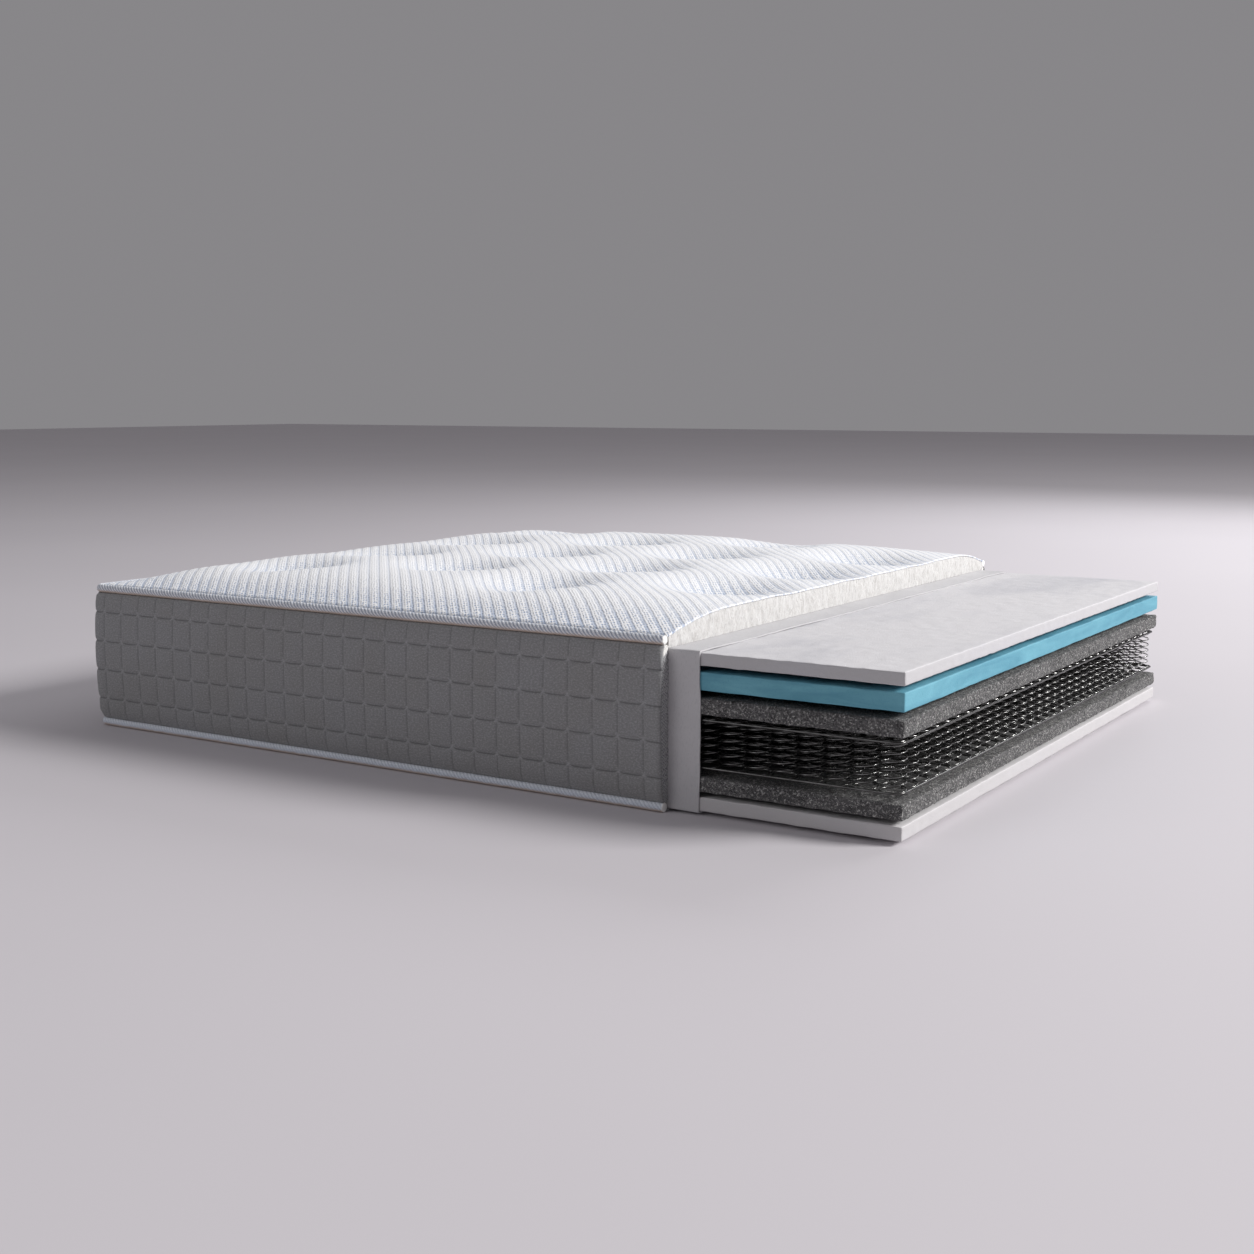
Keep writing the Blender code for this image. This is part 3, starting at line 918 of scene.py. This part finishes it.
def rib_relief(across):
    """Ribs of the knit: a groove, a thin ridge and a flatter band of mesh."""
    rib = (across / RIB_PITCH) % 1.0
    groove = np.exp(-((rib - RIB_GROOVE) / 0.12) ** 2)
    ridge = np.exp(-((rib - RIB_RIDGE) / 0.11) ** 2)
    pillow = np.sin(np.clip((rib - 0.5) / 0.5, 0, 1) * pi)
    return 0.0003 * ridge + 0.0006 * pillow - 0.0004 * groove


FILLED = filled_out()


def top_surface(x, y):
    """Height of the knit over the quilt, before its ribs."""
    return QUILT_BASE + dented(x, y) + read_grid(FILLED, x, y)


def weld(points, faces, key):
    """Join points with the same key; faces that collapse to a line go, and others may lose a corner."""
    _, first, group = np.unique(np.round(key, 6), axis=0, return_index=True, return_inverse=True)
    faces = group.reshape(-1)[faces]
    doubled = faces == np.roll(faces, 1, axis=1)
    whole = faces[~doubled.any(axis=1)]
    cut = faces[doubled.sum(axis=1) == 1]
    keep = ~doubled[doubled.sum(axis=1) == 1]
    return points[first], whole, list(cut[keep].reshape(-1, 3))


def make_top_panel(material):
    """The ribbed knit over the quilt, cut off at the display end. Its grid follows the ribs."""
    left = COVER_LEFT + PANEL_EDGE_INSET
    half = COVER_HALF - PANEL_EDGE_INSET
    slope = math.tan(RIB_TURN)
    offsets = np.array([0.0, 0.1, RIB_GROOVE, 0.26, 0.35, RIB_RIDGE, 0.54, 0.78]) * RIB_PITCH
    first = math.floor((left - half * slope) / RIB_PITCH)
    last = math.ceil((COVER_CUT + half * slope) / RIB_PITCH)
    across = (RIB_PITCH * np.arange(first, last + 1)[:, None] + offsets[None, :]).ravel()
    across, y = np.meshgrid(across, run_lines((-half, 0.0135), (half, 0)), indexing="ij")
    x = np.clip(across - y * slope, left, COVER_CUT)
    key = columns(x, y)
    plan = turn_corners(key, left, half, COVER_CORNER - PANEL_EDGE_INSET)
    across = x + y * slope
    x, y = plan[..., 0], plan[..., 1]
    fade = ramp(half - np.abs(y), 0.0, 0.012) * ramp(x, left, left + 0.012)
    height = top_surface(x, y) + rib_relief(across) * fade
    trim = ramp(x, COVER_CUT - 0.012, COVER_CUT)
    ragged = rough(columns(0 * x, y, 0 * x), 0.011, 9) * 0.001 * trim
    outer = columns(x + ragged, y, height)
    inner = columns(x + ragged, y, top_surface(x, y) - TOP_FABRIC)
    points, quads = shell(outer, inner)
    sides = np.repeat([0, 1], key[..., 0].size)
    key = np.column_stack([np.tile(key.reshape(-1, 2), (2, 1)), sides])
    points, quads, triangles = weld(points, quads, key)
    mesh = make_mesh("top_panel_knit", points, quads, triangles)
    store_values(mesh, "drawn", drawn_and_shade_share(points[:, 0], points[:, 1]))
    piece = make_piece(mesh, material, ["top_panel"])


def make_quilt_wadding(material):
    """The fibre filling under the knit, with its cut face showing its fibres."""
    left = COVER_LEFT + QUILT_INSET
    half = COVER_HALF - QUILT_INSET
    xs = edged(run_lines((left, 0.024), (COVER_CUT - 0.012, 0.004), (COVER_CUT, 0)), 0.0015)
    ys = edged(run_lines((-half, 0.0042), (half, 0)), 0.0015)
    levels = edged(np.linspace(0, 1, 15), 0.03)
    points, quads, _ = box_skin(xs, ys, levels)
    points = turn_corners(points, left, half, COVER_CORNER - QUILT_INSET)
    x, y, level = points[:, 0], points[:, 1], points[:, 2]
    thick = top_surface(x, y) - TOP_FABRIC - 0.0008 - QUILT_BASE
    points = columns(x, y, QUILT_BASE + level * thick)
    face = ramp(x, COVER_CUT - 0.009, COVER_CUT)
    tufts = layered(points * [0, 1, 1], (1.0, 0.007, 0.016), 51, 3)
    hollow = 1 - np.sin(np.pi * np.clip(level, 0.04, 0.96)) ** 0.3
    points[:, 0] += face * (0.0016 * tufts - 0.0022 * hollow)
    mesh = make_mesh("quilt_wadding_fill", points, quads)
    piece = make_piece(mesh, material, ["quilt_wadding"])


# -------- quilted border
WALL_LOW, WALL_HIGH = BORDER_LOW.z, BORDER_HIGH.z
BULGE = 0.0065              # how far the wall bows out at half its height
PUFF = 0.0026               # and each quilt square
TUCK = 0.004                # how far the border's edges turn in under the pipings


def wall_stand(height):
    """How far the wall stands out from its plain face at a height."""
    share = (height - WALL_LOW) / (WALL_HIGH - WALL_LOW)
    bow = BULGE * np.sin(np.clip(share, 0, 1) * pi) ** 0.8
    edge = np.minimum(height - WALL_LOW, WALL_HIGH - height)
    return bow - TUCK * (1 - ramp(edge, 0.0, 0.012))


def seam_sag(along):
    """How far the horizontal seams hang between two upright ones."""
    across = (along - TILE_START) / TILE
    return SEAM_SAG * (1 - np.exp(-(TILE * np.abs(across - np.round(across)) / 0.0055) ** 2))


def seam_distances(along, height):
    """Distance to the nearest upright seam and to the nearest level one."""
    across = (along - TILE_START) / TILE
    upright = TILE * np.abs(across - np.round(across))
    level = (height + seam_sag(along) - FIRST_SEAM) / TILE_ROW
    nearest = np.clip(np.round(level), 0, SEAM_ROWS - 1)
    return upright, TILE_ROW * np.abs(level - nearest)


def tile_relief(along, height):
    upright, level = seam_distances(along, height)
    puff = (1 - np.exp(-upright / 0.0045)) * (1 - np.exp(-level / 0.006))
    pucker = np.exp(-((upright / 0.0042) ** 2) - (level / 0.0042) ** 2)
    return PUFF * puff + 0.0013 * pucker - 0.0012 * np.exp(-(level / 0.0022) ** 2)


def make_border_panel(material):
    """The quilted cloth round the wall, in one piece from cut to cut."""
    offsets = np.array([0.0, 0.0012, 0.0034, 0.0075, 0.015, 0.0273, 0.0396, 0.0471, 0.0512, 0.0534])
    starts = TILE_START + TILE * np.arange(-1, math.ceil(WRAP / TILE) + 1)
    along = (starts[:, None] + offsets[None, :]).ravel()
    along = np.concatenate([[0.0], along[(along > 0.0006) & (along < WRAP - 0.0006)], [WRAP]])
    steps = np.array([0.0, 0.0018, 0.0042, 0.0085, 0.018, 0.0325, 0.047, 0.0565, 0.0608, 0.0632])
    rows = (FIRST_SEAM + TILE_ROW * np.arange(-1, SEAM_ROWS + 1)[:, None] + steps[None, :]).ravel()
    rows = rows[(rows > WALL_LOW + 0.003) & (rows < WALL_HIGH - 0.003)]
    rows = np.concatenate([WALL_LOW + np.array([0.0, 0.0015]), rows, WALL_HIGH - np.array([0.0015, 0.0])])
    along, height = np.meshgrid(along, rows, indexing="ij")
    last_seam = FIRST_SEAM + TILE_ROW * (SEAM_ROWS - 1)
    from_low = (height - WALL_LOW) / (FIRST_SEAM - WALL_LOW)
    from_high = (WALL_HIGH - height) / (WALL_HIGH - last_seam)
    height = height - seam_sag(along) * np.clip(np.minimum(from_low, from_high), 0, 1)
    stand = wall_stand(height)
    spots = wrap_points(along, 0.0, height)
    relief = tile_relief(along, height) + 0.0005 * rough(spots, 0.045, 71)
    edge = ramp(np.minimum(height - WALL_LOW, WALL_HIGH - height), 0.0, 0.006)
    outer = wrap_points(along, -(stand + relief * edge), height)
    inner = wrap_points(along, BORDER_FABRIC - stand, height)
    points, quads = shell(outer, inner)
    mesh = make_mesh("border_panel_cloth", points, quads)
    upright, level = seam_distances(along, height)
    crease = np.maximum(0.62 * np.exp(-(upright / 0.0011) ** 2), np.exp(-(level / 0.0013) ** 2))
    # crossing: where the seams cross; it takes the painted highlight, and the seams' dark line is left
    # off there
    crossing = np.exp(-((upright / 0.0046) ** 2) - (level / 0.004) ** 2)
    crease = np.clip(crease - crossing, 0.0, 1.0)
    store_values(mesh, "crossing_highlight", np.tile(crossing.ravel(), 2))
    store_values(mesh, "crease", np.tile(crease.ravel(), 2))
    store_map(mesh, "weave", np.tile(along.ravel(), 2), np.tile(height.ravel(), 2))
    piece = make_piece(mesh, material, ["border_panel"])


def make_border_wadding(material):
    """The filling behind the border cloth; only its two cut ends are seen."""
    ends = np.array([0.0, 0.002, 0.006, 0.012])
    along = np.concatenate([ends, run_lines((0.03, 0.03), (WRAP - 0.03, 0)), WRAP - ends[::-1]])
    depth = np.linspace(0, 1, 8)
    heights = run_lines((WALL_LOW, 0.003), (WALL_HIGH, 0))
    points, quads, _ = box_skin(along, depth, heights)
    s, share, z = points[:, 0], points[:, 1], points[:, 2]
    outer = BORDER_FABRIC + CLEARANCE - wall_stand(z)
    inner = BORDER_FABRIC + CLEARANCE + BORDER_WADDING
    inset = outer + (inner - outer) * share
    placed = wrap_points(s, inset, z)
    face = 1 - ramp(np.minimum(s, WRAP - s), 0.0, 0.007)
    zigzag = np.abs(inset % (2 * BRAID_HALF) - BRAID_HALF)
    braid = np.sin(pi * (z + BRAID_SLOPE * zigzag) / BRAID_PITCH)
    noise = layered(placed * [0, 1, 1], (1.0, 0.006, 0.012), 61, 3)
    placed[:, 0] += face * (0.0008 * braid + 0.0012 * noise - 0.0006)
    mesh = make_mesh("border_wadding_fill", placed, quads)
    piece = make_piece(mesh, material, ["border_wadding"])


# -------- pipings and underside
PIPING_SIDES = 36
PIPING_STEP = 0.002
STRANDS = 6
PIPING_LAY = 0.052         # length in which a strand goes once round


def make_piping(node, material, depth, seed):
    """A knit roll round the cover's edge, with shallow slanting grooves."""
    low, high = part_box(node)
    radius = (high.z - low.z) / 2
    centre = (high.z + low.z) / 2
    inset = low.x - COVER_LEFT + radius
    ends = np.array([0.0, 0.0005, 0.0014, 0.0028, 0.0045])
    middle = run_lines((0.0065, PIPING_STEP), (WRAP - 0.0065, 0))
    along = np.concatenate([ends, middle, WRAP - ends[::-1]])
    side = pi * (2 * (np.arange(PIPING_SIDES) + 0.5) / PIPING_SIDES - 1)
    along, side = np.meshgrid(along, side, indexing="ij")
    lobe = np.abs(np.sin(STRANDS / 2 * (side - 2 * pi * along / PIPING_LAY)))
    near_end = np.clip(np.minimum(along, WRAP - along) / 0.0028, 0, 1)
    dome = 0.84 + 0.16 * np.sqrt(1 - (1 - near_end) ** 2)
    spots = wrap_points(along, inset - radius * np.cos(side), centre + radius * np.sin(side))
    strands = radius * (1 - depth * (1 - lobe ** 0.6))
    reach = dome * (strands + 0.0004 * layered(spots, 0.009, seed, 2))
    points = wrap_points(along, inset - reach * np.cos(side), centre + reach * np.sin(side))
    mesh = make_mesh(node + "_roll", points.reshape(-1, 3), *tube_faces(along.shape))
    turns = side / (2 * pi) - along / PIPING_LAY
    store_map(mesh, "lay", (turns * STRANDS).ravel(), along.ravel())
    store_values(mesh, "cut_end", 1 - ramp(np.minimum(along, WRAP - along), 0.0004, 0.003))
    piece = make_piece(mesh, material, [node])


def make_bottom_panel(material):
    """The plain fabric under the mattress."""
    low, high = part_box("bottom_panel")
    edge = 0.001
    xs = edged(run_lines((low.x, 0.012), (high.x, 0)), edge)
    ys = edged(run_lines((low.y, 0.012), (high.y, 0)), edge)
    zs = np.array([low.z, low.z + edge, high.z - edge, high.z])
    points, quads, _ = box_skin(xs, ys, zs)
    points = soften(points, low, high, edge)
    inside = ramp(np.minimum(high.y - np.abs(points[:, 1]), points[:, 0] - low.x), 0.0, 0.05)
    points[:, 2] += 0.0006 * (1 + rough(points * [1, 1, 0], 0.07, 91)) * inside * (points[:, 2] < 0.002)
    points = turn_corners(points, low.x, high.y, COVER_CORNER - (COVER_HALF - high.y))
    mesh = make_mesh("bottom_panel_cloth", points, quads)
    piece = make_piece(mesh, material, ["bottom_panel"])


# -------- studio
FLOOR_REACH = 30.0
FLOOR_LEVEL = -0.0005
CAMERA_TILT = math.radians(81.973)
CAMERA_TURN = math.radians(32.395)
CAMERA_LENS = 46.857


def make_camera():
    data = bpy.data.cameras.new("camera")
    data.sensor_width = 36.0
    data.lens = CAMERA_LENS
    camera = add_object("camera", data)
    beyond_end, before_front, height = 1.0174, 2.4236, 0.7344
    camera.location = (CAD_BOX[1].x + beyond_end, -COVER_HALF - before_front, height)
    camera.rotation_euler = (CAMERA_TILT, 0.0, CAMERA_TURN)
    bpy.context.scene.camera = camera


def make_light(name, place, target, size, power, colour):
    data = bpy.data.lights.new(name, "AREA")
    data.shape = "RECTANGLE"
    data.size, data.size_y = size
    data.energy = power
    data.color = colour
    light = add_object(name, data)
    light.location = place
    aim = Vector(target) - Vector(place)
    light.rotation_euler = aim.to_track_quat("-Z", "Y").to_euler()


def make_studio():
    make_camera()
    make_light("key", (10.9, 3.6, 6.3), (0.0, 0.0, 0.2), (4.6, 3.2), 2020.0, (1.0, 0.995, 0.985))
    make_light("back", (1.2, 7.4, 4.2), (0.0, 0.0, 0.2), (5.0, 2.5), 210.0, (0.98, 0.985, 1.0))
    make_light("fill", (-3.2, -7.6, 3.6), (-0.2, 0.0, 0.2), (4.5, 3.0), 90.0, (0.97, 0.985, 1.0))
    world = bpy.data.worlds.new("studio")
    world.use_nodes = True
    world.node_tree.nodes["Background"].inputs[0].default_value = (0.6, 0.585, 0.61, 1.0)
    world.node_tree.nodes["Background"].inputs[1].default_value = 0.41
    bpy.context.scene.world = world
    bpy.context.scene.view_settings.view_transform = "Standard"
    corners = ((-1, -1), (1, -1), (1, 1), (-1, 1))
    points = np.array([(FLOOR_REACH * x, FLOOR_REACH * y, FLOOR_LEVEL) for x, y in corners])
    mesh = make_mesh("floor", points, np.array([[0, 1, 2, 3]]))
    mesh.materials.append(floor_finish())
    add_object("floor", mesh)


# Piping tape tones: the lit top, the side with painted shade, and the painted shade in the grooves.
TOP_TAPE = ((0.88, 0.89, 0.92), (0.9, 0.9, 0.92), (0.28, 0.32, 0.41))
LOW_TAPE = ((0.84, 0.87, 0.93), (0.74, 0.79, 0.88), (0.36, 0.4, 0.48))


def main():
    make_studio()
    foam = foam_finish("comfort_foam", (0.665, 0.652, 0.67), (0.47, 0.47, 0.51), 0.0, 0.65)
    base = foam_finish("base_foam", (0.7, 0.68, 0.69), (0.5, 0.49, 0.51), 3.7, 0.45)
    felt = felt_finish()
    make_layer("base_foam", base, 0.0075, 0.02, 0.0007, 11)
    make_layer("lower_felt_pad", felt, 0.0055, 0.007, 0.0011, 12)
    make_layer("upper_felt_pad", felt, 0.0055, 0.007, 0.0011, 13)
    make_layer("gel_memory_foam", gel_finish(), 0.0075, 0.03, 0.0006, 14)
    make_layer("comfort_foam", foam, 0.0075, 0.02, 0.0007, 15)
    rod = steel_finish("rod_steel", (0.12, 0.118, 0.116), (0.06, 0.059, 0.058), 0.2, 0.85)
    make_springs(steel_finish("coil_steel", (0.23, 0.228, 0.224), (0.11, 0.109, 0.107), 0.18, 0.9))
    make_rod("lower_border_rod", rod)
    make_rod("upper_border_rod", rod)
    make_sleeve(sleeve_finish())
    make_quilt_wadding(fibre_finish("quilt_fibre", (0.715, 0.707, 0.697), (0.57, 0.552, 0.535)))
    make_top_panel(knit_finish())
    make_border_wadding(braid_finish())
    make_border_panel(border_finish())
    make_piping("top_piping", piping_finish("top_piping_tape", *TOP_TAPE, 0.95), 0.16, 81)
    make_piping("bottom_piping", piping_finish("low_piping_tape", *LOW_TAPE, 0.45), 0.07, 82)
    make_bottom_panel(underside_finish())


main()
